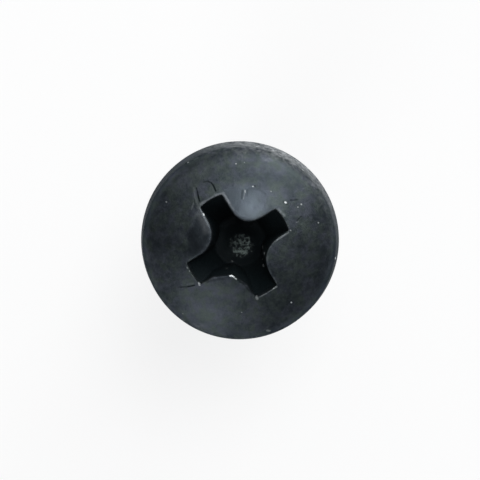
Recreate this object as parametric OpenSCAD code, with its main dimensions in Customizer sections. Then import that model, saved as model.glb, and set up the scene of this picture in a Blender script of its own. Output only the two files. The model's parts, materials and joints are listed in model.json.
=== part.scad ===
// Pan head machine screw, M5 x 12, with a size 2 cross recess.
// One cold-formed piece of blackened steel: domed head, cross recess, plain neck,
// rolled right-hand thread and a chamfered flat end.
// Millimetres. The origin is the centre of the bearing face under the head, and +Z runs
// along the axis and out through the crown. The shank hangs below the origin.

/* [Head] */
// Diameter of the head at its widest
head_d = 9.3; // [8.6:0.1:10.4]
// Height of the crown above the bearing face
head_h = 3.6; // [3.4:0.1:4.4]
// Radius of the domed crown
crown_r = 8; // [7:0.5:12]
// Radius that rolls the crown over into the side of the head
shoulder_r = 0.9; // [0.5:0.1:1.3]
// Angle by which the side of the head draws in towards the crown
side_draft = 5; // [0:1:8]
// Width of the break where the side meets the bearing face
edge_break = 0.15; // [0.05:0.05:0.3]

/* [Cross recess] */
// Distance between the tips of opposite wings at the mouth
recess_span = 4.92; // [4.5:0.02:5.3]
// Width of a wing at the mouth
wing_w = 1.15; // [0.95:0.05:1.35]
// Radius of the rounded nose of each web between two wings
nose_r = 1.42; // [1:0.02:1.6]
// Depth of the wings below the top of the crown
recess_depth = 2.9; // [2.3:0.1:3.1]
// Angle of the wing ends from the axis
wing_slope = 26.5; // [25:0.5:28]
// Angle by which the webs lean outwards towards the mouth
web_lean = 5.75; // [4:0.25:7]
// Slope of the conical floor
floor_slope = 28; // [20:1:32]
// Diameter of the flat at the bottom of the floor
floor_flat_d = 0.95; // [0.6:0.05:1.2]
// Turn of the wings about the axis
recess_turn = 31.5; // [0:0.5:90]

/* [Shank] */
// Nominal diameter, over the crests of the thread
thread_d = 5; // [4.6:0.1:5.4]
// Pitch of the thread
pitch = 0.8; // [0.7:0.05:0.9]
// Length from the bearing face to the end
shank_l = 12; // [8:1:20]
// Length of the plain neck above the thread
neck_l = 1.2; // [0.8:0.1:2]
// Radius of the fillet between the neck and the bearing face
neck_fillet = 0.25; // [0.1:0.05:0.4]
// Diameter of the flat end, inside its chamfer
tip_d = 3.9; // [3.2:0.1:3.9]

/* [Hidden] */
$fn = 96;

steel = [0.20, 0.22, 0.24];
beyond = 1;

// Head: the shoulder arc touches the crown arc from inside and the side of the head
head_r = head_d / 2;
crown_y = head_h - crown_r;
side_foot = [head_r, edge_break];
side_up = [-sin(side_draft), cos(side_draft)];
side_out = [cos(side_draft), sin(side_draft)];
inner_foot = side_foot - shoulder_r * side_out - [0, crown_y];
inner_rise = inner_foot * side_up;
side_l = sqrt(pow(crown_r - shoulder_r, 2) - inner_foot * inner_foot + pow(inner_rise, 2))
    - inner_rise;
side_top = side_foot + side_l * side_up;
shoulder = side_top - shoulder_r * side_out;
blend_angle = atan2(shoulder.y - crown_y, shoulder.x);

// Recess: the wing ends are one cone that meets the crown at the wing tips
mouth_r = recess_span / 2;
mouth_z = crown_y + sqrt(pow(crown_r, 2) - pow(mouth_r, 2));
wing_z = head_h - recess_depth;
floor_r = mouth_r - (mouth_z - wing_z) * tan(wing_slope);
floor_flat_r = floor_flat_d / 2;
floor_z = wing_z - (floor_r - floor_flat_r) * tan(floor_slope);
recess_top = head_h + beyond;
nose_x = wing_w / sqrt(2) + nose_r * (sqrt(2) - 1);

// Thread: 60 degree flanks with a flat crest and a flat root
thread_r = thread_d / 2;
thread_h = pitch * sqrt(3) / 2;
pitch_r = thread_r - thread_h * 3 / 8;
root_r = thread_r - thread_h * 17 / 24;
neck_r = pitch_r;
start_r = neck_r - 0.02;
tip_r = tip_d / 2;
flank_l = (thread_r - root_r) * tan(30);
crest_l = pitch / 8;
root_l = pitch - crest_l - 2 * flank_l;
thread_top = -neck_l;
thread_start = thread_top - root_l;
turn_steps = 36;
step_l = pitch / turn_steps;
// One pitch of the profile, as [drop below the start of the turn, radius]
profile = [
    [0, root_r],
    [root_l, root_r],
    [root_l + flank_l, thread_r],
    [root_l + flank_l + crest_l, thread_r],
];
corners = len(profile);
steps = floor((shank_l + thread_start - profile[corners - 1][0] - root_l) / step_l);

// A point straight out from the origin, far enough to pass the head
function ray(angle) = (crown_r + head_d) * [cos(angle), sin(angle)];

// The domed part of the section, out to where the shoulder takes over
module crown_section() {
    intersection() {
        translate([0, crown_y]) circle(crown_r);
        polygon([
            [0, 0],
            [shoulder.x, 0],
            shoulder,
            [0, crown_y] + ray(blend_angle),
            [0, 2 * head_h],
        ]);
    }
}

// The rolled-over shoulder and the drafted side below it, with its lower edge broken
module side_section() {
    translate(shoulder) circle(shoulder_r);
    polygon([
        [shoulder.x, 0],
        [head_r - edge_break, 0],
        side_foot,
        side_top,
        shoulder,
    ]);
}

// The plain neck, with its fillet under the head
module neck_section() {
    translate([0, -neck_l]) square([neck_r, neck_l]);
    difference() {
        translate([neck_r, -neck_fillet]) square(neck_fillet);
        translate([neck_r + neck_fillet, -neck_fillet]) circle(neck_fillet);
    }
}

// The turned form of the head and neck, before the recess is driven in
module head_blank() {
    rotate_extrude() {
        crown_section();
        side_section();
        neck_section();
    }
}

// Plan of one web: a square corner with a round nose that touches the Y axis
module web_plan() {
    touch = nose_r / sqrt(2);
    translate([nose_r, 0]) {
        circle(nose_r);
        polygon([
            [0, 0],
            [-touch, touch],
            [head_d - touch, head_d + touch],
            [head_d - touch, -head_d - touch],
            [-touch, -touch],
        ]);
    }
}

// One web, leaning outwards about its nose at the mouth
module web() {
    reach = mouth_z - floor_z + beyond;
    translate([nose_x, 0, mouth_z])
        rotate([0, web_lean, 0])
            translate([0, 0, -reach])
                linear_extrude(height = reach + 2 * beyond + head_h - mouth_z)
                    web_plan();
}

// The hollow of the cross recess: a blunt cone less the four webs
module cross_recess() {
    rim_r = mouth_r + (recess_top - mouth_z) * tan(wing_slope);
    rotate(recess_turn)
        difference() {
            rotate_extrude()
                polygon([
                    [0, floor_z],
                    [floor_flat_r, floor_z],
                    [floor_r, wing_z],
                    [rim_r, recess_top],
                    [0, recess_top],
                ]);
            for (quarter = [0:3])
                rotate(45 + 90 * quarter) web();
        }
}

// Radius of the thread at a step: it runs out into the neck over the first turn and is
// held inside the 45 degree chamfer of the end
function thread_radius(step, full_r, z) =
    let (grown = min(1, step / turn_steps))
    min(start_r + (full_r - start_r) * grown, tip_r + z + shank_l);

// One corner of the profile, at its place along the helix
function thread_corner(step, corner) =
    let (z = thread_start - step * step_l - profile[corner][0])
    let (r = thread_radius(step, profile[corner][1], z))
    let (angle = 360 * step / turn_steps)
    [r * cos(angle), -r * sin(angle), z];

// A level ring of points, in the same order as the helix
function ring(r, z) = [
    for (i = [0:turn_steps - 1])
        let (angle = 360 * i / turn_steps)
        [r * cos(angle), -r * sin(angle), z]
];

// Two triangles for the face whose corners are a, b, c and d
function quad(a, b, c, d) = [[a, b, c], [a, c, d]];

// Triangles from one corner to each pair of neighbours in a list
function fan(apex, edge) = [for (i = [0:len(edge) - 2]) [apex, edge[i], edge[i + 1]]];

// The rolled thread, as one closed spiral skin between two level ends
module rolled_thread() {
    points = concat(
        [for (step = [0:steps]) for (corner = [0:corners - 1]) thread_corner(step, corner)],
        ring(start_r, thread_top),
        ring(tip_r, -shank_l)
    );
    top = corners * (steps + 1);
    end = top + turn_steps;
    last = corners - 1;
    seam = steps - turn_steps;
    function at(step, corner) = corners * step + corner;
    function top_at(step) = top + step % turn_steps;
    function end_at(step) = end + step % turn_steps;
    profile_skin = [
        for (step = [0:steps - 1]) for (corner = [0:last - 1])
            each quad(
                at(step, corner), at(step, corner + 1),
                at(step + 1, corner + 1), at(step + 1, corner)
            )
    ];
    turn_joins = [
        for (step = [0:seam - 1])
            each quad(
                at(step, last), at(step + turn_steps, 0),
                at(step + turn_steps + 1, 0), at(step + 1, last)
            )
    ];
    top_band = [
        for (step = [0:turn_steps - 2])
            each quad(top_at(step), at(step, 0), at(step + 1, 0), top_at(step + 1))
    ];
    top_seam = fan(at(turn_steps - 1, 0), concat(
        [at(turn_steps, 0)],
        [for (corner = [last:-1:0]) at(0, corner)],
        [top_at(0), top_at(turn_steps - 1)]
    ));
    end_band = [
        for (step = [seam + 1:steps - 1])
            each quad(at(step, last), end_at(step), end_at(step + 1), at(step + 1, last))
    ];
    end_seam = fan(at(seam + 1, last), concat(
        [at(seam, last)],
        [for (corner = [0:last]) at(steps, corner)],
        [end_at(steps), end_at(steps + 1)]
    ));
    top_face = [[for (i = [0:turn_steps - 1]) top_at(i)]];
    end_face = [[for (i = [turn_steps - 1:-1:0]) end_at(i)]];
    polyhedron(
        points,
        concat(profile_skin, turn_joins, top_band, top_seam, end_band, end_seam,
            top_face, end_face)
    );
}

module screw() {
    color(steel) {
        difference() {
            head_blank();
            cross_recess();
        }
        rolled_thread();
    }
}

screw();
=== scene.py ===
"""A pan head machine screw that stands on its flat end, in worn black oxide steel.

The head, recess and neck are skinned ring by ring from their section, the thread is a
Geometry Nodes spiral, and all of it is welded into one closed piece. Sizes in the classes
are millimetres.
"""

import json
import logging
import math
from collections.abc import Callable, Iterable, Sequence
from dataclasses import dataclass, field
from enum import Enum

import bmesh
import bpy
from mathutils import Matrix, Vector, noise
from mathutils.bvhtree import BVHTree

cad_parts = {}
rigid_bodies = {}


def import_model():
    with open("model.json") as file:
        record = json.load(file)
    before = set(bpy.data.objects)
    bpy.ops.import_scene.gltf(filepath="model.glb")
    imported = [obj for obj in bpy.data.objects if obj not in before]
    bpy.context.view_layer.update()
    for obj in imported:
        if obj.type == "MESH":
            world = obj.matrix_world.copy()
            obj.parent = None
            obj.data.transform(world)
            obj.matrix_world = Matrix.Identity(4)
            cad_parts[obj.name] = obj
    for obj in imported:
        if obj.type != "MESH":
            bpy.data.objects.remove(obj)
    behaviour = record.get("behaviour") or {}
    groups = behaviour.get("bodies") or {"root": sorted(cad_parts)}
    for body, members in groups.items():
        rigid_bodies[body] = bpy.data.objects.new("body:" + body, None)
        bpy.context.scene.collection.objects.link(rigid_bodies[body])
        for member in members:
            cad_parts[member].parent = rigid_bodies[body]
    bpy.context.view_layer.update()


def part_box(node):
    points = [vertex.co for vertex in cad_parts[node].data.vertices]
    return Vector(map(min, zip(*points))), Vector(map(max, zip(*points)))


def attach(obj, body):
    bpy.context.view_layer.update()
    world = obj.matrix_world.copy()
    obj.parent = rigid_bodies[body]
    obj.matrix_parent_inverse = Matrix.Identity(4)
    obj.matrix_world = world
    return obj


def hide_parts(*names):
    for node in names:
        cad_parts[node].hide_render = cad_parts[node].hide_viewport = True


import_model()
CAD_LOW, CAD_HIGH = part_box("screw")

MM = 0.001
AROUND = 192
log = logging.getLogger("screw")

Point = tuple[float, float]


def lerp(a: float, b: float, t: float) -> float:
    """The value a share t of the way from a to b."""
    return a + (b - a) * t


def ease(t: float) -> float:
    """A share eased in and out."""
    t = min(1.0, max(0.0, t))
    return t * t * (3 - 2 * t)


def between(a: Point, b: Point, t: float) -> Point:
    """The point a share t of the way from a to b."""
    return (lerp(a[0], b[0], t), lerp(a[1], b[1], t))


def bend(a: Point, corner: Point, b: Point, t: float) -> Point:
    """A point on the arc that leaves a towards the corner and arrives at b."""
    return between(between(a, corner, t), between(corner, b, t), t)


def resample(line: Sequence[Point], parts: int) -> list[Point]:
    """Points at equal steps along a line.

    Args:
        line: The corners of the line.
        parts: How many equal parts to cut it into.

    Returns:
        The parts + 1 points, ends included.
    """
    reach = [0.0]
    for a, b in zip(line, line[1:]):
        reach.append(reach[-1] + math.dist(a, b))
    points, leg = [], 0
    for step in range(parts + 1):
        want = reach[-1] * step / parts
        while leg < len(line) - 2 and reach[leg + 1] < want:
            leg += 1
        span = reach[leg + 1] - reach[leg]
        share = (want - reach[leg]) / span if span > 1e-9 else 0.0
        points.append(between(line[leg], line[leg + 1], share))
    return points


class Value:
    """A number, colour or vector socket that can be written in an expression."""

    def __init__(self, tree: "NodeTree", port: bpy.types.NodeSocket) -> None:
        """Wraps one socket of a tree."""
        self.tree = tree
        self.port = port

    def math(self, operation: str, *others: "Value | float", swap: bool = False) -> "Value":
        """Adds one Math node on this value.

        Args:
            operation: The Math node's operation.
            others: The operation's other values.
            swap: True where this value comes second.

        Returns:
            The node's result.
        """
        ports = [self, *others]
        if swap:
            ports.reverse()
        return self.tree.node("ShaderNodeMath", {"operation": operation}, dict(enumerate(ports)))

    def __add__(self, other: "Value | float") -> "Value":
        """This value plus another."""
        return self.math("ADD", other)

    def __radd__(self, other: float) -> "Value":
        """A number plus this value."""
        return self.math("ADD", other, swap=True)

    def __sub__(self, other: "Value | float") -> "Value":
        """This value less another."""
        return self.math("SUBTRACT", other)

    def __rsub__(self, other: float) -> "Value":
        """A number less this value."""
        return self.math("SUBTRACT", other, swap=True)

    def __mul__(self, other: "Value | float") -> "Value":
        """This value times another."""
        return self.math("MULTIPLY", other)

    def __rmul__(self, other: float) -> "Value":
        """A number times this value."""
        return self.math("MULTIPLY", other, swap=True)

    def __truediv__(self, other: "Value | float") -> "Value":
        """This value over another."""
        return self.math("DIVIDE", other)

    def rise(self, low: float, high: float, start: float = 0.0, end: float = 1.0) -> "Value":
        """Eases from start to end as this value goes from low to high."""
        return self.tree.node(
            "ShaderNodeMapRange",
            {"interpolation_type": "SMOOTHSTEP"},
            {"Value": self, "From Min": low, "From Max": high, "To Min": start, "To Max": end},
        )

    def vector(self, operation: str, other: "Value | tuple | None" = None) -> "Value":
        """Adds one Vector Math node on this vector and gives its vector result."""
        inputs = {0: self} if other is None else {0: self, 1: other}
        return self.tree.node("ShaderNodeVectorMath", {"operation": operation}, inputs)

    def measure(self, operation: str, other: "Value | tuple | None" = None) -> "Value":
        """Adds one Vector Math node on this vector and gives its number result."""
        inputs = {0: self} if other is None else {0: self, 1: other}
        return self.tree.node("ShaderNodeVectorMath", {"operation": operation}, inputs, "Value")

    def scaled(self, factor: "Value | float") -> "Value":
        """This vector times one number."""
        return self.tree.node(
            "ShaderNodeVectorMath", {"operation": "SCALE"}, {0: self, "Scale": factor}
        )


class NodeTree:
    """Adds nodes to a shader or geometry tree and links them by name."""

    def __init__(self, tree: bpy.types.NodeTree) -> None:
        """Empties the tree, ready for new nodes."""
        self.tree = tree
        tree.nodes.clear()

    def node(
        self,
        kind: str,
        settings: dict | None = None,
        inputs: dict | None = None,
        output: int | str = 0,
    ) -> Value:
        """Adds one node.

        Args:
            kind: The node's type.
            settings: Its properties, set before any socket.
            inputs: What each input holds, by name or place: a link or a plain value.
            output: The output to hand back, by name or place.

        Returns:
            The chosen output.
        """
        made = self.tree.nodes.new(kind)
        for name, value in (settings or {}).items():
            setattr(made, name, value)
        for name, value in (inputs or {}).items():
            if isinstance(value, Value):
                self.tree.links.new(value.port, made.inputs[name])
            else:
                made.inputs[name].default_value = value
        return Value(self, made.outputs[output]) if len(made.outputs) else Value(self, made)

    def colours(self, share: Value, low: tuple, high: tuple) -> Value:
        """A colour between two, by a share from 0 to 1."""
        made = self.tree.nodes.new("ShaderNodeMix")
        made.data_type = "RGBA"
        self.tree.links.new(share.port, made.inputs["Factor"])
        for port, value in ((made.inputs[6], low), (made.inputs[7], high)):
            if isinstance(value, Value):
                self.tree.links.new(value.port, port)
            else:
                port.default_value = value
        return Value(self, made.outputs[2])


@dataclass(frozen=True)
class PhotoView:
    """How the photograph looks at the head: nearly straight down, leaning a little."""

    scale: float = 21.32
    aim_px: Point = (240.03, 239.61)
    frame_px: int = 480
    lean: float = 5.9
    lean_towards: float = 77.7
    aim_z: float = 0.15
    lens: float = 300.0
    sensor: float = 36.0

    @property
    def back(self) -> Vector:
        """The direction from the screw to the camera."""
        lean, turn = math.radians(self.lean), math.radians(self.lean_towards)
        return Vector(
            (math.sin(lean) * math.cos(turn), math.sin(lean) * math.sin(turn), math.cos(lean))
        )

    @property
    def right(self) -> Vector:
        """The image's direction to the right."""
        return Vector((0, 1, 0)).cross(self.back).normalized()

    @property
    def up(self) -> Vector:
        """The image's direction upwards."""
        return self.back.cross(self.right)

    def in_plane(self, x_px: float, y_px: float) -> Vector:
        """A pixel's offset from the middle of the frame, in the plane that is aimed at."""
        middle = self.frame_px / 2
        return (self.right * (x_px - middle) + self.up * (middle - y_px)) / self.scale

    @property
    def station(self) -> Vector:
        """Where the camera stands."""
        half_frame = self.frame_px / 2 / self.scale
        distance = half_frame * self.lens / (self.sensor / 2)
        aim = Vector((0, 0, self.aim_z)) - self.in_plane(*self.aim_px)
        return aim + self.back * distance

    def surface_point(self, x_px: float, y_px: float, surface: BVHTree) -> Vector:
        """The point of a surface that a pixel of the photograph shows.

        Args:
            x_px: The pixel's place from the left.
            y_px: The pixel's place from the top.
            surface: The surface, in metres.

        Returns:
            The point, in millimetres.
        """
        distance = (self.station - Vector((0, 0, self.aim_z))).dot(self.back)
        way = self.in_plane(x_px, y_px) - self.back * distance
        hit = surface.ray_cast(self.station * MM, way)[0]
        return hit / MM

    def make_camera(self) -> None:
        """Puts the scene's camera where the photograph was taken from."""
        data = bpy.data.cameras.new("photo_camera")
        data.lens = self.lens
        data.sensor_width = self.sensor
        data.clip_start = MM
        data.clip_end = 10.0
        camera = bpy.data.objects.new("photo_camera", data)
        turn = Matrix((self.right, self.up, self.back)).transposed().to_4x4()
        turn.translation = self.station * MM
        camera.matrix_world = turn
        bpy.context.scene.collection.objects.link(camera)
        bpy.context.scene.camera = camera


@dataclass(frozen=True)
class HeadSection:
    """The section that the head and neck are turned to."""

    radius: float = (CAD_HIGH.x - CAD_LOW.x) / 2 / MM
    height: float = 3.6
    crown_r: float = 8.0
    shoulder_r: float = 0.9
    side_draft: float = 5.0
    edge_break: float = 0.15
    neck_r: float = 2.24
    neck_l: float = 1.2
    fillet: float = 0.25

    @property
    def crown_z(self) -> float:
        """The height of the crown arc's centre."""
        return self.height - self.crown_r

    @property
    def side_out(self) -> Vector:
        """The direction out of the drafted side, as radius and height."""
        draft = math.radians(self.side_draft)
        return Vector((math.cos(draft), math.sin(draft)))

    @property
    def shoulder(self) -> Vector:
        """The centre of the shoulder arc, as radius and height."""
        out = self.side_out
        up = Vector((-out.y, out.x))
        foot = Vector((self.radius, self.edge_break)) - out * self.shoulder_r
        foot.y -= self.crown_z
        rise = foot.dot(up)
        rest = (self.crown_r - self.shoulder_r) ** 2 - foot.length_squared + rise**2
        centre = foot + up * (math.sqrt(rest) - rise)
        return centre + Vector((0, self.crown_z))

    @property
    def blend_angle(self) -> float:
        """The slope, above level, of the line where crown and shoulder meet."""
        return math.atan2(self.shoulder.y - self.crown_z, self.shoulder.x)

    @property
    def crown_edge(self) -> float:
        """The radius at which the shoulder takes over from the crown."""
        return self.crown_r * math.cos(self.blend_angle)

    def crown(self, r: float) -> float:
        """The height of the crown at a distance from the axis."""
        r = min(r, self.crown_edge)
        return self.crown_z + math.sqrt(self.crown_r**2 - r**2)

    def side(self) -> list[Point]:
        """The section from the top of the shoulder down to the end of the neck.

        Returns:
            Points of radius and height, in order.
        """
        points: list[Point] = []
        for step in range(1, 15):
            angle = lerp(self.blend_angle, math.radians(self.side_draft), step / 14)
            point = self.shoulder + Vector((math.cos(angle), math.sin(angle))) * self.shoulder_r
            points.append((point.x, point.y))
        lip = self.edge_break
        low, base = (self.radius, lip), (self.radius - lip, 0.0)
        points += [between(points[-1], low, t) for t in (0.25, 0.5, 0.75, 0.92)]
        points += [bend(points[-1], low, between(low, base, 0.4), t) for t in (0.5, 1)]
        points += [between(low, base, 0.6)]
        inner = (self.radius - 1.4 * lip, 0.0)
        points += [bend(between(low, base, 0.6), base, inner, t) for t in (0.5, 1)]
        foot = self.neck_r + self.fillet
        points += [(lerp(inner[0], foot, t), 0.0) for t in (0.05, 0.3, 0.6, 0.9, 1)]
        for step in range(1, 7):
            angle = math.radians(15 * step)
            points.append(
                (foot - self.fillet * math.sin(angle), self.fillet * (math.cos(angle) - 1))
            )
        points += [(self.neck_r, lerp(-self.fillet, -self.neck_l, t)) for t in (0.1, 0.4, 0.7, 0.9)]
        return points


@dataclass(frozen=True)
class Web:
    """One web of metal between two wings, as the punch left it."""

    nose_r: float
    setback: float = 0.0
    sharpness: float = 0.0
    lip: float = 0.075


@dataclass(frozen=True)
class CrossRecess:
    """The hollow that the driver enters: four wings round a blunt core."""

    span: float = 4.92
    wing_w: float = 1.15
    depth: float = 2.9
    wing_slope: float = 26.5
    web_lean: float = 5.75
    floor_slope: float = 28.0
    floor_flat_d: float = 0.95
    turn: float = 31.5
    corner: float = 0.06
    end_lip: float = 0.05
    webs: tuple[Web, ...] = (
        Web(1.05, -0.04),
        Web(1.08, 0.0, lip=0.10),
        Web(1.35, -0.04, 0.85),
        Web(1.35, -0.07),
    )
    reaches: tuple[float, ...] = (-0.03, 0.07, 0.06, 0.07)

    @property
    def mouth_r(self) -> float:
        """The radius of the mouth over the wings."""
        return self.span / 2

    def wing_z(self, section: HeadSection) -> float:
        """The height of the wings' lower ends."""
        return section.height - self.depth

    def floor_z(self, section: HeadSection) -> float:
        """The height of the flat at the bottom of the floor."""
        drop = section.crown(self.mouth_r) - self.wing_z(section)
        floor_r = self.mouth_r - drop * math.tan(math.radians(self.wing_slope))
        slope = math.tan(math.radians(self.floor_slope))
        return self.wing_z(section) - (floor_r - self.floor_flat_d / 2) * slope

    def floor_height(self, section: HeadSection, r: float) -> float:
        """The floor's height at a distance from its middle, with the flat's edge eased."""
        over = r - self.floor_flat_d / 2
        soft = (over + math.hypot(over, 0.06)) / 2
        return self.floor_z(section) + soft * math.tan(math.radians(self.floor_slope))

    def lip_width(self, index: int) -> float:
        """How far the worn lip is rounded at a point of the outline."""
        quarter, place = divmod(index, AROUND // 4)
        on_web = ease((min(place, AROUND // 4 - place) - 6) / 6)
        return lerp(self.end_lip, self.webs[quarter].lip, on_web)

    def web_line(self, web: Web, rise: float, reach: float) -> list[Point]:
        """The edge of a web, from far out on its flank to the tip of its nose.

        Args:
            web: The web.
            rise: The height above the mouth, negative inside.
            reach: The radius of the wing's end, which the nose stays inside.

        Returns:
            Points with the wing along +X and the middle of the web at 45 degrees.
        """
        lean = rise * math.tan(math.radians(self.web_lean))
        half = self.wing_w / 2 + lean / math.sqrt(2)
        centre = half + web.nose_r
        round_tip = math.hypot(centre, centre) - web.nose_r
        tip = min(round_tip + web.setback, reach - 0.06)
        slant = math.radians(-25)
        run = (tip / math.sqrt(2) - half) / -math.sin(slant)
        nose = []
        for step in range(25):
            t = step / 24
            angle = math.radians(lerp(270, 225, t))
            push = (tip - round_tip) / math.sqrt(2) * ease(t)
            arc = (
                centre + web.nose_r * math.cos(angle) + push,
                centre + web.nose_r * math.sin(angle) + push,
            )
            vee = (
                tip / math.sqrt(2) + run * (1 - t) * math.cos(slant),
                tip / math.sqrt(2) + run * (1 - t) * math.sin(slant),
            )
            nose.append(between(arc, vee, web.sharpness))
        return [(2 * self.span, half), *nose]

    def half_quarter(self, web: Web, reach: float, rise: float) -> list[Point]:
        """The outline from the middle of a wing's end to the tip of the next web's nose.

        Args:
            web: The web that the outline ends on.
            reach: The radius of the wing's end at this height.
            rise: The height above the mouth, negative inside.

        Returns:
            The outline's points, AROUND / 8 + 1 of them.
        """
        line = self.web_line(web, rise, reach)
        inside = next(i for i, point in enumerate(line) if math.hypot(*point) < reach)
        outer, inner = line[inside - 1], line[inside]
        low, high = 0.0, 1.0
        for _ in range(30):
            middle = (low + high) / 2
            if math.hypot(*between(outer, inner, middle)) > reach:
                low = middle
            else:
                high = middle
        corner = between(outer, inner, low)
        turn = math.atan2(corner[1], corner[0])
        cut = min(0.4, self.corner / (reach * turn))
        ends = []
        for step in range(6):
            angle = turn * (1 - cut) * step / 5
            ends.append((reach * math.cos(angle), reach * math.sin(angle)))
        fine = resample([corner, *line[inside:]], 60)
        length = math.dist(fine[0], fine[1]) * 60
        skip = max(1, min(20, round(60 * self.corner / length)))
        rounded = [bend(ends[-1], corner, fine[skip], t / 3) for t in (1, 2)]
        return [*ends, *rounded, *resample(fine[skip:], AROUND // 8 - 8)]

    def outline(self, section: HeadSection, z: float) -> list[Point]:
        """The recess seen from above at one height.

        Args:
            section: The head that the recess is driven into.
            z: The height.

        Returns:
            AROUND points, counter-clockwise from the middle of the first wing's end.
        """
        rise = z - section.crown(self.mouth_r)
        spread = self.mouth_r + rise * math.tan(math.radians(self.wing_slope))
        worn = max(0.0, 1 + rise)
        points: list[Point] = []
        for quarter in range(4):
            web = self.webs[quarter]
            first = spread + self.reaches[quarter] * worn
            second = spread + self.reaches[(quarter + 1) % 4] * worn
            going = self.half_quarter(web, first, rise)
            coming = [(y, x) for x, y in reversed(self.half_quarter(web, second, rise))]
            angle = math.radians(self.turn + 90 * quarter)
            for x, y in [*going, *coming[1:-1]]:
                points.append(
                    (
                        x * math.cos(angle) - y * math.sin(angle),
                        x * math.sin(angle) + y * math.cos(angle),
                    )
                )
        return points


class Skin:
    """A closed skin made of rings of points, one under the other."""

    def __init__(self, marks: Sequence[str]) -> None:
        """Starts an empty skin whose points can carry the named marks."""
        self.mesh = bmesh.new()
        self.marks = {name: self.mesh.verts.layers.float.new(name) for name in marks}
        self.last: list[bmesh.types.BMVert] = []

    def ring(self, points: Iterable[Vector], **marks: float) -> None:
        """Adds a ring of points, in millimetres, and joins it to the ring before.

        Args:
            points: The ring, counter-clockwise seen from above.
            marks: What each of its points carries.
        """
        made = [self.mesh.verts.new(point * MM) for point in points]
        for vert in made:
            for name, value in marks.items():
                vert[self.marks[name]] = value
        if self.last:
            for i, vert in enumerate(made):
                following = made[(i + 1) % len(made)]
                above, above_next = self.last[i], self.last[(i + 1) % len(made)]
                self.mesh.faces.new((above, vert, following, above_next))
        self.last = made

    def close(self, point: Vector, outwards: bool, **marks: float) -> None:
        """Closes the skin at a point.

        Args:
            point: The pole, in millimetres.
            outwards: True where the pole ends the skin and False where it starts it.
            marks: What the pole carries.
        """
        pole = self.mesh.verts.new(point * MM)
        for name, value in marks.items():
            pole[self.marks[name]] = value
        for i, vert in enumerate(self.last):
            following = self.last[(i + 1) % len(self.last)]
            corners = (vert, pole, following) if outwards else (pole, vert, following)
            self.mesh.faces.new(corners)


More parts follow.
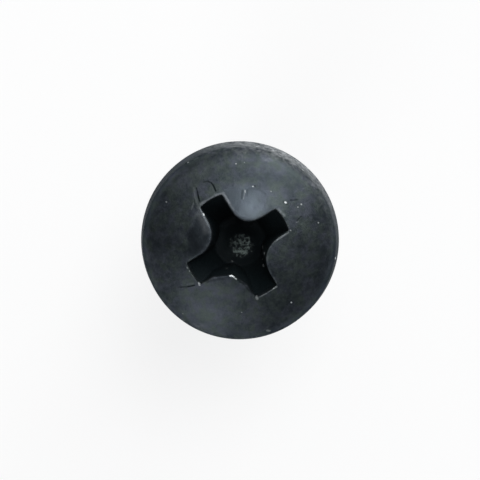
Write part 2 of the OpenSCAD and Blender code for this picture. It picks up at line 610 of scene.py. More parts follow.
@dataclass
class PanHead:
    """The domed head with its recess, down to the end of the plain neck."""

    section: HeadSection = field(default_factory=HeadSection)
    recess: CrossRecess = field(default_factory=CrossRecess)
    waviness: float = 0.010
    dish_centre: Point = (0.32, 0.13)
    dish_r: float = 2.65
    dish_depth: float = 0.012
    # Directions, in degrees, of the painted rim highlight on the edge of the head: the strong one and
    # the weaker one.
    rim_highlight_towards: float = 62.0
    second_highlight_towards: float = 250.0
    floor_centre: Point = (0.05, -0.22)
    floor_grain: float = 0.05

    def dish(self, x: float, y: float) -> float:
        """How far inside the burnished dish round the recess a place lies, from 0 to 1."""
        r = math.hypot(x - self.dish_centre[0], y - self.dish_centre[1])
        ragged = noise.noise(Vector((x * 1.7, y * 1.7, 5.3))) * 0.08
        pressed = ease((y - 0.35 * x + 1.1) / 2.0) * (1 - 0.8 * ease((x - 0.7) / 1.0))
        return ease((self.dish_r + 0.07 + ragged - r) / 0.14) * pressed

    def rim_highlight(self, x: float, y: float, z: float) -> float:
        """How strongly the painted rim highlight lies on the edge of the head at a place, from 0 to 1,
        strongest on the side facing the key lamps and weaker on the fill side.
        """
        turn = math.atan2(y, x)
        main = max(0.0, math.cos(turn - math.radians(self.rim_highlight_towards))) ** 3
        less = max(0.0, math.cos(turn - math.radians(self.second_highlight_towards))) ** 2
        ragged = noise.noise(Vector((x, y, z)) * 1.9) * 0.3 + noise.noise(Vector((x, y, z)) * 6) * 0.15
        low = ease((self.section.shoulder.y + 0.8 + ragged - z) / 1.3)
        return (main + 0.55 * less) * low * ease((z + 0.05) / 0.1)

    def top(self, x: float, y: float) -> float:
        """The height of the struck crown, with its dish and its unevenness."""
        r = math.hypot(x, y)
        wave = noise.noise(Vector((x * 0.9, y * 0.9, 3.1)))
        wave += noise.noise(Vector((x * 2.3, y * 2.3, 7.7))) * 0.35
        away = ease((r - 1.2) / 0.6) * ease((self.section.crown_edge - r) / 0.3)
        return self.section.crown(r) - self.dish(x, y) * self.dish_depth + wave * self.waviness * away

    def mouth_line(self) -> list[Vector]:
        """The sharp line where the walls of the recess would meet the crown."""
        reach = self.section.crown(self.recess.mouth_r)
        low = self.recess.outline(self.section, reach - 0.3)
        high = self.recess.outline(self.section, reach + 0.3)
        line = []
        for a, b in zip(low, high):
            z = reach
            for _ in range(6):
                x, y = between(a, b, (z - reach + 0.3) / 0.6)
                z = self.top(x, y)
            line.append(Vector((x, y, z)))
        return line

    def outward(self, line: Sequence[Vector]) -> list[Vector]:
        """The level direction away from the hollow at each point of its outline."""
        ways = []
        for i in range(len(line)):
            along = line[(i + 1) % len(line)] - line[i - 1]
            ways.append(Vector((along.y, -along.x, 0)).normalized())
        return ways

    def circle(self, r: float) -> list[Point]:
        """AROUND points on a circle, counter-clockwise from the first wing."""
        angles = [math.radians(self.recess.turn + 360 * i / AROUND) for i in range(AROUND)]
        return [(r * math.cos(a), r * math.sin(a)) for a in angles]

    def skin(self, skin: Skin) -> None:
        """Adds the floor, walls, lip, crown, side and neck to a skin."""
        self.skin_floor(skin)
        outer = self.skin_walls(skin)
        self.skin_crown(skin, outer)
        for r, z in self.section.side():
            skin.ring(Vector((x, y, z)) for x, y in self.circle(r))

    def floor_point(self, x: float, y: float, share: float) -> Vector:
        """A point of the rough floor.

        Args:
            x: Its place along X.
            y: Its place along Y.
            share: How far it lies from the middle, from 0 to 1 at the foot of the walls.

        Returns:
            The point, with its grain.
        """
        fade = ease(3 - 3 * share)
        r = math.hypot(x - self.floor_centre[0] * fade, y - self.floor_centre[1] * fade)
        rough = noise.noise(Vector((x * 9, y * 9, 1.7))) * self.floor_grain
        rough += noise.noise(Vector((x * 2.2, y * 2.2, 4.4))) * self.floor_grain * fade
        smooth = self.recess.floor_height(self.section, r)
        return Vector((x, y, smooth + rough * fade * ease((0.8 - r) / 0.4)))

    def skin_floor(self, skin: Skin) -> None:
        """Adds the rough floor, from its middle out to the foot of the walls."""
        foot = self.recess.outline(self.section, self.recess.wing_z(self.section))
        rings = 22
        skin.last = []
        for step in range(1, rings):
            share = step / rings
            points = [self.floor_point(x * share, y * share, share) for x, y in foot]
            skin.ring(points, hollow=1.0, floor=1.0)
            if step == 1:
                skin.close(self.floor_point(0, 0, 0), False, hollow=1.0, floor=1.0)

    def skin_walls(self, skin: Skin) -> list[Vector]:
        """Adds the walls of the recess and its worn lip.

        Args:
            skin: The skin to add to.

        Returns:
            The outer edge of the lip, on the crown.
        """
        recess = self.recess
        wing_z = recess.wing_z(self.section)
        mouth = self.mouth_line()
        away = self.outward(mouth)
        top = min(point.z for point in mouth) - 2.2 * max(web.lip for web in recess.webs)
        foot = [self.floor_point(x, y, 1.0) for x, y in recess.outline(self.section, wing_z)]
        skin.ring(foot, hollow=1.0, floor=1.0)
        for step in range(1, 19):
            z = lerp(wing_z, top, step / 18)
            depth = ease((top + 0.3 - z) / 0.5)
            outline = recess.outline(self.section, z)
            # The deepest painted shade of the floor reaches a little way up the lower walls.
            deep_shade = ease(1 - step / 8)
            skin.ring((Vector((x, y, z)) for x, y in outline), hollow=depth, floor=deep_shade)
        inner, outer = [], []
        for i, (point, way) in enumerate(zip(mouth, away)):
            lip = recess.lip_width(i)
            x, y = point.x + way.x * lip, point.y + way.y * lip
            outer.append(Vector((x, y, self.top(x, y))))
            slant = way * (lip * math.tan(math.radians(recess.web_lean)))
            inner.append(point - slant - Vector((0, 0, lip)))
        for step in range(7):
            t = step / 6
            points = []
            for a, corner, b in zip(inner, mouth, outer):
                points.append(a.lerp(corner, t).lerp(corner.lerp(b, t), t))
            skin.ring(points, hollow=0.5 * (1 - t), lip=1 - 0.25 * abs(2 * t - 1))
        return outer

    def skin_crown(self, skin: Skin, rim: Sequence[Vector]) -> None:
        """Adds the crown, from the lip of the recess out to the shoulder.

        Args:
            skin: The skin to add to.
            rim: The outer edge of the lip.
        """
        edge = self.section.crown_edge
        spread_r, spread_rows, rows = 3.25, 26, 44
        for row in range(1, rows + 1):
            if row <= spread_rows:
                t = row / spread_rows
                ring = self.circle(spread_r)
                share = lerp(t, ease(t), 0.35)
                points = [between((p.x, p.y), c, share) for p, c in zip(rim, ring)]
            else:
                points = self.circle(lerp(spread_r, edge, (row - spread_rows) / (rows - spread_rows)))
            worn = 0.6 if row == 1 else 0.0
            skin.ring((Vector((x, y, self.top(x, y))) for x, y in points), lip=worn)


@dataclass
class RolledThread:
    """The rolled right-hand thread, a Geometry Nodes spiral from neck to end."""

    crest_r: float = 2.5
    pitch: float = 0.8
    neck_r: float = 2.24
    neck_l: float = 1.2
    end_r: float = 1.95
    end_z: float = CAD_LOW.z / MM
    run_out: float = 1.0
    softness: float = 0.05
    profile_points: int = 13
    phase: float = 31.5

    @property
    def root_r(self) -> float:
        """The radius at the bottom of the thread."""
        return self.crest_r - self.pitch * math.sqrt(3) / 2 * 17 / 24

    def inputs(self) -> dict[str, float]:
        """The tree's named sizes, in metres and radians."""
        return {
            "Crest radius": self.crest_r * MM,
            "Root radius": self.root_r * MM,
            "Neck radius": self.neck_r * MM,
            "End radius": self.end_r * MM,
            "Pitch": self.pitch * MM,
            "Top": -self.neck_l * MM,
            "End": self.end_z * MM,
            "Run-out": self.run_out * MM,
            "Softness": self.softness * MM,
            "Phase": math.radians(self.phase),
        }

    def tree(self, material: bpy.types.Material) -> bpy.types.NodeTree:
        """Builds the spiral's node tree.

        Args:
            material: The finish of the thread.

        Returns:
            The tree, with one named input for each size.
        """
        group = bpy.data.node_groups.new("rolled_thread", "GeometryNodeTree")
        group.interface.new_socket("Geometry", in_out="INPUT", socket_type="NodeSocketGeometry")
        for name in self.inputs():
            group.interface.new_socket(name, in_out="INPUT", socket_type="NodeSocketFloat")
        group.interface.new_socket("Geometry", in_out="OUTPUT", socket_type="NodeSocketGeometry")
        nodes = NodeTree(group)
        source = nodes.tree.nodes.new("NodeGroupInput")
        size = {name: Value(nodes, source.outputs[name]) for name in self.inputs()}
        turns = math.ceil((-self.neck_l - self.end_z) / self.pitch) + 2
        strip = nodes.node(
            "GeometryNodeMeshGrid",
            None,
            {
                "Size X": 1.0,
                "Size Y": 1.0,
                "Vertices X": self.profile_points,
                "Vertices Y": turns * AROUND + 1,
            },
            "Mesh",
        )
        place = nodes.node("GeometryNodeInputPosition")
        split = {
            axis: nodes.node("ShaderNodeSeparateXYZ", None, {"Vector": place}, axis) + 0.5
            for axis in "XY"
        }
        across, turn = split["X"], split["Y"] * float(turns)
        level = size["Top"] + size["Pitch"] - (turn + across) * size["Pitch"]
        height = level.math("MINIMUM", size["Top"]).math("MAXIMUM", size["End"])
        from_crest = (across - 0.5).math("ABSOLUTE") * size["Pitch"]
        flank = size["Crest radius"] - (from_crest - size["Pitch"] / 16.0) * math.sqrt(3)
        profile = flank.math("SMOOTH_MIN", size["Crest radius"], size["Softness"])
        profile = profile.math("SMOOTH_MAX", size["Root radius"], size["Softness"])
        grown = ((size["Top"] - height) / size["Run-out"]).rise(0.0, 1.0)
        faded = size["Neck radius"] + (profile - size["Neck radius"]) * grown
        radius = faded.math("MINIMUM", size["End radius"] + (height - size["End"]))
        angle = size["Phase"] - turn * math.tau
        point = nodes.node(
            "ShaderNodeCombineXYZ",
            None,
            {
                "X": radius * angle.math("COSINE"),
                "Y": radius * angle.math("SINE"),
                "Z": height,
            },
        )
        placed = nodes.node("GeometryNodeSetPosition", None, {"Geometry": strip, "Position": point})
        welded = nodes.node(
            "GeometryNodeMergeByDistance", None, {"Geometry": placed, "Distance": 2e-7}
        )
        real = nodes.node("GeometryNodeRealizeInstances", None, {"Geometry": welded})
        dressed = nodes.node("GeometryNodeSetMaterial", None, {"Geometry": real, "Material": material})
        nodes.node("NodeGroupOutput", None, {"Geometry": dressed})
        return group

    def mesh(self, material: bpy.types.Material) -> bpy.types.Mesh:
        """Evaluates the spiral into a plain mesh.

        Args:
            material: The finish of the thread.

        Returns:
            The thread, open at both ends.
        """
        return evaluate_tree("rolled_thread", self.tree(material), self.inputs())


def evaluate_tree(
    name: str, group: bpy.types.NodeTree, inputs: dict[str, float]
) -> bpy.types.Mesh:
    """Runs a Geometry Nodes tree on an empty object.

    Args:
        name: The name for the mesh.
        group: The tree.
        inputs: What each of its named inputs holds.

    Returns:
        The resulting plain mesh.
    """
    holder = bpy.data.objects.new(name + "_holder", bpy.data.meshes.new(name + "_holder"))
    bpy.context.scene.collection.objects.link(holder)
    modifier = holder.modifiers.new(name, "NODES")
    modifier.node_group = group
    sockets = {item.name: item.identifier for item in group.interface.items_tree}
    for label, value in inputs.items():
        modifier[sockets[label]] = value
    graph = bpy.context.evaluated_depsgraph_get()
    mesh = bpy.data.meshes.new_from_object(holder.evaluated_get(graph))
    mesh.name = name
    holder.modifiers.clear()
    bpy.data.objects.remove(holder)
    return mesh


class Tone(Enum):
    """The colours of the steel, with the colours of its painted highlights and shade, as linear red,
    green and blue.
    """

    DEEP = (0.026, 0.033, 0.039, 1.0)
    COOL = (0.070, 0.078, 0.096, 1.0)
    GREEN = (0.066, 0.081, 0.076, 1.0)
    BURNISHED = (0.046, 0.055, 0.066, 1.0)
    # Painted rim highlight on the edge of the head.
    RIM_HIGHLIGHT = (0.330, 0.345, 0.355, 1.0)
    # Bare steel on worn edges, also the colour of painted edge highlights.
    BARE_AND_HIGHLIGHT = (0.480, 0.510, 0.530, 1.0)
    # Bright flakes on the recess floor, partly a painted highlight.
    FLAKE_GLINT = (0.150, 0.188, 0.178, 1.0)
    # Painted shade inside the recess.
    RECESS_SHADE = (0.0042, 0.0074, 0.0088, 1.0)
    # Painted shade on the recess floor, darkest of all, also the colour of grooves.
    DEEP_SHADE_AND_GROOVE = (0.0036, 0.0060, 0.0070, 1.0)
    SPECK = (0.800, 0.840, 0.850, 1.0)


@dataclass(frozen=True)
class Mark:
    """A worn stretch, speck or groove, or a stroke of painted highlight or shade, given by the
    photograph's pixels at its ends.
    """

    start: Point
    end: Point
    width: float
    strength: float


@dataclass(frozen=True)
class BlackOxideSteel:
    """Worn, mottled black oxide on cold-formed steel, with painted shade in the recess and painted
    highlights on the rim, the recess floor and some edges.
    """

    patch_scale: float = 1.15
    mottle_scale: float = 4.2
    grain_scale: float = 9.0
    flake_scale: float = 8.0
    roughness: float = 0.47
    # Worn edges, among them painted highlights where the lamps catch an edge.
    worn: tuple[Mark, ...] = (
        # A broad faint painted highlight on the crown's upper left.
        Mark((180.0, 184.0), (204.0, 170.0), 0.900, 0.025),
        Mark((200.6, 204.2), (205.4, 201.2), 0.110, 0.20),
        Mark((205.4, 201.2), (215.5, 195.4), 0.080, 0.09),
        Mark((215.5, 195.4), (223.4, 193.4), 0.105, 0.16),
        # Painted highlight along the top web's left flank.
        Mark((223.4, 193.4), (229.4, 203.4), 0.100, 0.15),
        Mark((229.4, 203.4), (233.6, 210.4), 0.080, 0.08),
        # Painted highlight along the left web's rounded edge.
        Mark((198.4, 206.6), (201.6, 214.4), 0.150, 0.13),
        Mark((200.4, 214.8), (204.0, 224.0), 0.300, 0.17),
        Mark((204.0, 224.0), (205.6, 231.0), 0.280, 0.14),
        Mark((203.6, 216.0), (207.6, 226.0), 0.090, 0.12),
        Mark((276.8, 240.2), (288.4, 232.8), 0.057, 0.21),
        Mark((272.0, 243.6), (276.8, 240.2), 0.052, 0.10),
        Mark((193.8, 188.0), (195.2, 197.0), 0.100, 0.09),
        Mark((195.2, 197.0), (198.0, 205.0), 0.110, 0.09),
        Mark((193.6, 203.0), (191.6, 208.8), 0.067, 0.12),
        Mark((210.8, 185.0), (213.8, 191.5), 0.067, 0.03),
        Mark((187.0, 284.2), (193.5, 283.0), 0.057, 0.04),
        Mark((262.0, 295.4), (266.0, 293.2), 0.071, 0.21),
        Mark((268.0, 291.8), (273.5, 288.4), 0.067, 0.15),
        Mark((190.5, 273.0), (196.0, 281.0), 0.050, 0.02),
        Mark((278.6, 209.8), (284.4, 215.4), 0.100, 0.12),
        Mark((294.0, 163.6), (299.6, 167.8), 0.140, 0.22),
    )
    specks: tuple[Mark, ...] = (
        Mark((245.0, 190.2), (245.1, 192.4), 0.034, 0.18),
        Mark((244.9, 193.0), (243.4, 199.0), 0.034, 0.05),
        Mark((296.2, 222.4), (298.2, 221.8), 0.041, 0.08),
        Mark((230.4, 275.4), (233.6, 276.2), 0.085, 0.95),
        Mark((234.2, 277.6), (236.2, 279.0), 0.045, 0.30),
        Mark((256.4, 296.4), (257.2, 298.8), 0.090, 0.20),
        Mark((273.5, 288.4), (276.6, 286.8), 0.056, 0.20),
        Mark((198.9, 282.8), (199.4, 284.8), 0.072, 0.28),
        Mark((187.2, 267.4), (187.4, 268.2), 0.047, 0.18),
        Mark((189.4, 270.8), (189.6, 271.4), 0.041, 0.17),
        Mark((290.4, 230.2), (290.7, 230.6), 0.045, 0.18),
        Mark((203.7, 213.6), (204.1, 214.6), 0.062, 0.90),
        Mark((264.0, 253.0), (264.4, 253.6), 0.075, 0.75),
        Mark((262.4, 258.8), (262.6, 259.4), 0.060, 0.22),
        Mark((263.2, 264.6), (263.6, 266.4), 0.060, 0.25),
        Mark((232.0, 260.8), (232.4, 261.4), 0.050, 0.08),
        Mark((226.6, 268.0), (227.2, 268.4), 0.055, 0.16),
        Mark((262.6, 246.2), (262.9, 248.5), 0.070, 0.30),
        Mark((236.0, 163.7), (236.0, 163.8), 0.041, 0.30),
        Mark((244.3, 162.4), (244.5, 162.4), 0.034, 0.12),
        Mark((252.6, 186.4), (253.2, 186.5), 0.036, 0.24),
        Mark((270.8, 191.2), (271.3, 191.4), 0.039, 0.14),
        Mark((285.2, 202.2), (285.8, 202.6), 0.062, 0.80),
        Mark((301.2, 204.2), (301.4, 204.3), 0.050, 0.36),
        Mark((297.7, 207.1), (298.0, 207.2), 0.044, 0.22),
        Mark((318.3, 222.6), (318.6, 222.8), 0.048, 0.30),
        Mark((166.2, 201.8), (166.5, 202.0), 0.048, 0.30),
        Mark((291.2, 302.4), (291.4, 302.6), 0.050, 0.60),
        Mark((241.6, 312.2), (241.7, 312.4), 0.041, 0.17),
        Mark((302.6, 169.8), (303.0, 170.2), 0.060, 0.90),
        Mark((335.4, 257.8), (335.6, 258.4), 0.075, 0.90),
        Mark((187.9, 162.2), (188.2, 162.5), 0.055, 0.24),
        Mark((182.7, 313.6), (182.9, 313.8), 0.041, 0.13),
        Mark((267.4, 330.4), (269.4, 331.0), 0.090, 0.13),
    )
    # Dark marks: grooves and pits, with broad strokes of painted shade among them.
    grooves_and_shade: tuple[Mark, ...] = (
        # Painted shade on the left and right of the crown.
        Mark((154.0, 236.0), (174.0, 242.0), 0.950, 0.28),
        Mark((293.0, 236.0), (304.0, 244.0), 0.700, 0.18),
        # Darker patches on the left web.
        Mark((188.0, 232.0), (196.5, 248.0), 0.420, 0.42),
        Mark((182.0, 246.0), (190.0, 252.0), 0.330, 0.35),
        # Painted shade over the rounded lip of the bottom web's right flank.
        Mark((238.2, 279.8), (244.4, 284.2), 0.100, 0.80),
        Mark((244.4, 284.2), (252.0, 293.0), 0.100, 0.60),
        Mark((207.0, 281.6), (224.0, 278.4), 0.110, 0.35),
        Mark((196.4, 188.2), (197.8, 194.0), 0.058, 0.85),
        Mark((197.8, 194.0), (199.4, 201.0), 0.062, 0.95),
        Mark((203.6, 182.0), (207.4, 181.2), 0.080, 0.55),
        Mark((207.4, 181.2), (211.4, 182.8), 0.070, 0.75),
        Mark((211.4, 182.8), (213.8, 186.4), 0.062, 0.90),
        Mark((213.8, 186.4), (215.6, 190.8), 0.062, 0.95),
        Mark((194.6, 200.0), (194.2, 203.0), 0.050, 0.50),
        Mark((178.5, 287.2), (188.0, 286.6), 0.060, 0.50),
        Mark((188.0, 286.6), (194.4, 285.2), 0.066, 0.90),
        Mark((242.4, 190.5), (241.6, 198.5), 0.075, 0.45),
        Mark((247.4, 190.0), (247.0, 196.0), 0.060, 0.30),
        Mark((290.5, 200.2), (297.0, 199.8), 0.062, 0.60),
        Mark((297.0, 220.4), (301.0, 216.6), 0.060, 0.60),
        Mark((250.0, 188.2), (259.0, 189.4), 0.110, 0.22),
        Mark((259.0, 189.4), (265.5, 194.0), 0.110, 0.22),
        Mark((284.0, 201.6), (287.2, 203.6), 0.095, 0.60),
        Mark((254.9, 185.7), (255.2, 186.2), 0.055, 0.60),
    )

    def material(self, view: PhotoView, head: PanHead, surface: BVHTree) -> bpy.types.Material:
        """Builds the finish.

        Args:
            view: How the photograph looks at the head, to place its marks.
            head: The head, for its sizes.
            surface: The screw's surface, in metres.

        Returns:
            The material.
        """
        made = bpy.data.materials.new("black_oxide_steel")
        made.use_nodes = True
        nodes = NodeTree(made.node_tree)
        place = nodes.node("ShaderNodeTexCoord", None, None, "Object").scaled(1 / MM)
        lip = self.painted(nodes, "lip")
        hollow = self.painted(nodes, "hollow")
        dish = self.painted(nodes, "dish")
        floor = self.painted(nodes, "floor")
        rim_highlight = self.painted(nodes, "rim_highlight")

        patches = self.cloud(nodes, place, self.patch_scale, 3.0, 0.55)
        mottle = self.cloud(nodes, place.vector("ADD", (5.0, 2.0, 8.0)), self.mottle_scale, 5.0, 0.62)
        grain = self.cloud(nodes, place, self.grain_scale, 2.0, 0.6)
        tint = self.cloud(nodes, place.vector("ADD", (9.0, 4.0, 1.0)), 2.1, 2.0, 0.5)
        flakes = self.cloud(nodes, place.vector("ADD", (3.0, 1.0, 6.0)), self.flake_scale, 3.0, 0.6)

        tone = patches.rise(0.3, 0.7) * 0.43 + mottle.rise(0.28, 0.72) * 0.40
        tone = tone + grain.rise(0.25, 0.75) * 0.17
        oxide = nodes.colours(tint.rise(0.38, 0.62), Tone.COOL.value, Tone.GREEN.value)
        oxide = nodes.colours(tone, Tone.DEEP.value, oxide)
        smooth = nodes.colours(tone * 0.5 + 0.4, Tone.DEEP.value, Tone.BURNISHED.value)
        colour = nodes.colours(dish * 0.85, oxide, smooth)
        # Painted shade inside the recess, darker deeper down.
        colour = nodes.colours(hollow.rise(0.05, 0.75), colour, Tone.RECESS_SHADE.value)

        across = place.vector("SUBTRACT", (*head.floor_centre, 0.0)).vector("MULTIPLY", (1.0, 1.0, 0.0))
        flat_r = head.recess.floor_flat_d / 2
        flat = (across.measure("LENGTH") + (mottle - 0.5) * 0.8).rise(flat_r + 0.08, flat_r - 0.06)
        # The flat of the floor is grainy, and its flakes carry a painted highlight, brighter towards +X
        # and -Y, the side of the flat that the lamps' light reaches.
        lit = across.measure("DOT_PRODUCT", (0.7, -0.7, 0.0)).rise(-0.5, 0.35, 0.4, 1.0)
        floor_flakes_glint = flat * floor.rise(0.2, 0.9) * lit
        # Painted shade, darkest, on the floor of the recess and the foot of its walls.
        colour = nodes.colours(floor, colour, Tone.DEEP_SHADE_AND_GROOVE.value)
        colour = nodes.colours(floor_flakes_glint * flakes.rise(0.41, 0.63), colour, Tone.FLAKE_GLINT.value)

        wear = lip.rise(0.35, 0.95) * mottle.rise(0.45, 0.7) * 0.08
        colour = nodes.colours(wear, colour, Tone.BARE_AND_HIGHLIGHT.value)
        # Painted highlight on the edge of the head, on the sides that face the lamps.
        rim_highlight_shown = rim_highlight * (mottle * 0.6 + grain * 0.4).rise(0.38, 0.62, 0.2, 1.1)
        colour = nodes.colours(rim_highlight_shown, colour, Tone.RIM_HIGHLIGHT.value)
        ragged = (mottle - 0.5) * 0.04
        # Listed marks: worn edges with painted edge highlights, bright specks, and grooves with painted
        # shade.
        worn = self.placed(nodes, place, ragged, self.worn, 0.0, view, surface)
        bright = self.placed(nodes, place, ragged, self.specks, 0.3, view, surface)
        dark = self.placed(nodes, place, ragged, self.grooves_and_shade, 0.1, view, surface)
        # Grooves, pits and painted shade.
        colour = nodes.colours(dark, colour, Tone.DEEP_SHADE_AND_GROOVE.value)
        # Worn edges and painted edge highlights.
        colour = nodes.colours(worn, colour, Tone.BARE_AND_HIGHLIGHT.value)
        colour = nodes.colours(bright, colour, Tone.SPECK.value)

        rough = self.roughness + (mottle - 0.5) * 0.28 + (grain - 0.5) * 0.1 - dish * 0.10
        rough = rough + hollow * 0.12 + lip * 0.14
        bumps = (mottle - 0.5) * 0.014 * (1.0 - dish * 0.8) + (grain - 0.5) * 0.003
        bumps = bumps + floor_flakes_glint * flakes * 0.04 - dark * 0.002
        normal = nodes.node(
            "ShaderNodeBump", None, {"Strength": 1.0, "Distance": MM, "Height": bumps}, "Normal"
        )
        shader = nodes.node(
            "ShaderNodeBsdfPrincipled",
            None,
            {
                "Base Color": colour,
                "Metallic": (0.92 - bright * 0.7 - rim_highlight_shown * 0.5) * (1.0 - hollow.rise(0.3, 0.9) * 0.9),
                "Roughness": rough,
                "Specular Tint": (0.26, 0.28, 0.30, 1.0),
                "Normal": normal,
            },
        )
        nodes.node("ShaderNodeOutputMaterial", None, {"Surface": shader})
        return made

    def painted(self, nodes: NodeTree, name: str) -> Value:
        """One of the shares, from 0 to 1, that the mesh carries at its points."""
        return nodes.node("ShaderNodeAttribute", {"attribute_name": name}, None, "Fac")

    def cloud(
        self, nodes: NodeTree, place: Value, scale: float, detail: float, rough: float
    ) -> Value:
        """A soft random pattern from 0 to 1, with a scale in patches a millimetre."""
        return nodes.node(
            "ShaderNodeTexNoise",
            None,
            {"Vector": place, "Scale": scale, "Detail": detail, "Roughness": rough},
            0,
        )

    def placed(
        self,
        nodes: NodeTree,
        place: Value,
        ragged: Value,
        marks: Sequence[Mark],
        core: float,
        view: PhotoView,
        surface: BVHTree,
    ) -> Value:
        """A mask of marks, each on the surface that its pixels show.

        Args:
            nodes: The tree to build in.
            place: The place on the surface, in millimetres.
            ragged: What makes their outlines ragged, in millimetres.
            marks: The marks.
            core: The share of a mark's width that is at full strength.
            view: How the photograph looks at the head.
            surface: The screw's surface, in metres.

        Returns:
            How much a mark covers a place, from 0 to 1.
        """
        mask = ragged * 0.0
        for mark in marks:
            start = view.surface_point(*mark.start, surface)
            along = view.surface_point(*mark.end, surface) - start
            off = place.vector("SUBTRACT", tuple(start))
            share = off.measure("DOT_PRODUCT", tuple(along)) / along.length_squared
            share = share.math("MAXIMUM", 0.0).math("MINIMUM", 1.0)
            foot = nodes.node(
                "ShaderNodeVectorMath", {"operation": "SCALE"}, {0: tuple(along), "Scale": share}
            )
            distance = off.vector("SUBTRACT", foot).measure("LENGTH") + ragged
            shown = distance.rise(mark.width, mark.width * core) * mark.strength
            mask = mask.math("MAXIMUM", shown)
        return mask


@dataclass
class Screw:
    """The whole screw: one closed piece from the crown to the flat end."""

    head: PanHead = field(default_factory=PanHead)
    thread: RolledThread = field(default_factory=RolledThread)
    finish: BlackOxideSteel = field(default_factory=BlackOxideSteel)

    def end_face(self, skin: Skin) -> None:
        """Adds the flat end, from its rim in to its middle."""
        end_r, z = self.thread.end_r, self.thread.end_z
        skin.last = []
        for share in (1.0, 0.9, 0.7, 0.5, 0.3, 0.12):
            skin.ring(Vector((x, y, z)) for x, y in self.head.circle(share * end_r))
        skin.close(Vector((0, 0, z)), True)

    def paint_head(self, skin: Skin) -> None:
        """Marks how burnished the crown is at each point, and how strongly the painted rim highlight
        lies on the edge of the head.
        """
        crown_z = self.head.section.crown(self.head.section.crown_edge)
        for vert in skin.mesh.verts:
            x, y, z = vert.co / MM
            solid = 1 - vert[skin.marks["hollow"]]
            if z > crown_z:
                vert[skin.marks["dish"]] = self.head.dish(x, y) * solid
            vert[skin.marks["rim_highlight"]] = self.head.rim_highlight(x, y, z) * solid

    def build(self, view: PhotoView) -> bpy.types.Object:
        """Builds and dresses the screw.

        Args:
            view: How the photograph looks at the head.

        Returns:
            The finished piece.
        """
        skin = Skin(("lip", "hollow", "dish", "floor", "rim_highlight"))
        self.head.skin(skin)
        neck = self.thread.neck_r
        skin.ring(Vector((x, y, -self.thread.neck_l)) for x, y in self.head.circle(neck))
        self.end_face(skin)
        self.paint_head(skin)
        surface = BVHTree.FromBMesh(skin.mesh)
        material = self.finish.material(view, self.head, surface)
        skin.mesh.from_mesh(self.thread.mesh(material))
        bmesh.ops.remove_doubles(skin.mesh, verts=skin.mesh.verts, dist=2e-7)
        bmesh.ops.dissolve_degenerate(skin.mesh, edges=skin.mesh.edges, dist=1e-8)
        bmesh.ops.recalc_face_normals(skin.mesh, faces=skin.mesh.faces)
        for face in skin.mesh.faces:
            face.smooth = True
            face.material_index = 0
        open_edges = sum(1 for edge in skin.mesh.edges if len(edge.link_faces) != 2)
        triangles = sum(len(face.verts) - 2 for face in skin.mesh.faces)
        mesh = bpy.data.meshes.new("screw_body")
        skin.mesh.to_mesh(mesh)
        skin.mesh.free()
        mesh.materials.clear()
        mesh.materials.append(material)
        mesh.set_sharp_from_angle(angle=math.radians(38))
        piece = bpy.data.objects.new("screw_body", mesh)
        bpy.context.scene.collection.objects.link(piece)
        log.info("screw_body: %d triangles, %d open edges", triangles, open_edges)
        return piece


@dataclass(frozen=True)
class Lamp:
    """A square soft light, aimed at the head."""

    name: str
    azimuth: float
    elevation: float
    size: float
    power: float
    distance: float = 0.3

    def make(self) -> None:
        """Adds the lamp to the scene."""
        data = bpy.data.lights.new(self.name, "AREA")
        data.shape = "SQUARE"
        data.size = self.size
        data.energy = self.power
        turn, rise = math.radians(self.azimuth), math.radians(self.elevation)
        way = Vector(
            (math.cos(turn) * math.cos(rise), math.sin(turn) * math.cos(rise), math.sin(rise))
        )
        lamp = bpy.data.objects.new(self.name, data)
        lamp.location = way * self.distance
        lamp.rotation_mode = "QUATERNION"
        lamp.rotation_quaternion = way.to_track_quat("Z", "Y")
        bpy.context.scene.collection.objects.link(lamp)


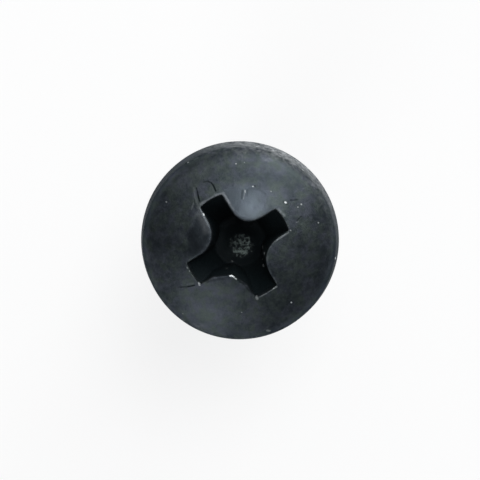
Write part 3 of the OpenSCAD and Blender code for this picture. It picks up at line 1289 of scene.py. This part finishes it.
@dataclass(frozen=True)
class Studio:
    """The plain white floor, the soft lights and the sky."""

    floor_z: float = CAD_LOW.z - 0.01 * MM
    floor_size: float = 1.2
    sky: tuple[float, float, float, float] = (0.16, 0.17, 0.18, 1.0)
    lamps: tuple[Lamp, ...] = (
        Lamp("key", 65.0, 69.0, 0.10, 0.28),
        Lamp("broad", 68.0, 45.0, 0.30, 0.42),
        Lamp("fill", 241.0, 40.0, 0.16, 0.18),
        Lamp("side", 122.0, 42.0, 0.16, 0.06),
        Lamp("rim", 60.0, 14.0, 0.20, 0.54),
        Lamp("back_rim", 254.0, 12.0, 0.20, 0.15),
    )

    def floor_material(self) -> bpy.types.Material:
        """A white sheet that stays white to the eye and keeps a faint shadow."""
        made = bpy.data.materials.new("white_sheet")
        made.use_nodes = True
        nodes = NodeTree(made.node_tree)
        path = made.node_tree.nodes.new("ShaderNodeLightPath")
        seen = Value(nodes, path.outputs["Is Camera Ray"])
        for name in ("Is Glossy Ray", "Is Transmission Ray"):
            seen = seen.math("MAXIMUM", Value(nodes, path.outputs[name]))
        plain = nodes.node(
            "ShaderNodeBsdfPrincipled",
            None,
            {"Base Color": (0.9, 0.9, 0.9, 1.0), "Roughness": 0.8, "Specular IOR Level": 0.0},
        )
        white = nodes.node("ShaderNodeEmission", None, {"Color": (1, 1, 1, 1), "Strength": 1.0})
        both = nodes.node("ShaderNodeMixShader", None, {0: seen * 0.8, 1: plain, 2: white})
        nodes.node("ShaderNodeOutputMaterial", None, {"Surface": both})
        return made

    def build(self) -> None:
        """Adds the floor, the lamps and the sky."""
        half = self.floor_size / 2
        corners = [(-half, -half), (half, -half), (half, half), (-half, half)]
        mesh = bpy.data.meshes.new("floor")
        mesh.from_pydata([(x, y, self.floor_z) for x, y in corners], [], [(0, 1, 2, 3)])
        mesh.materials.append(self.floor_material())
        floor = bpy.data.objects.new("floor", mesh)
        bpy.context.scene.collection.objects.link(floor)
        for lamp in self.lamps:
            lamp.make()
        world = bpy.data.worlds.new("sky")
        world.use_nodes = True
        nodes = NodeTree(world.node_tree)
        sky = nodes.node("ShaderNodeBackground", None, {"Color": self.sky, "Strength": 1.0})
        nodes.node("ShaderNodeOutputWorld", None, {"Surface": sky})
        scene = bpy.context.scene
        scene.world = world
        scene.view_settings.view_transform = "Standard"


def main() -> None:
    """Builds the camera, the screw and the studio."""
    logging.basicConfig(level=logging.INFO, format="%(message)s")
    view = PhotoView()
    view.make_camera()
    piece = Screw().build(view)
    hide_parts("screw")
    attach(piece, "root")
    Studio().build()
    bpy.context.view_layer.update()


if __name__ == "__main__":
    main()
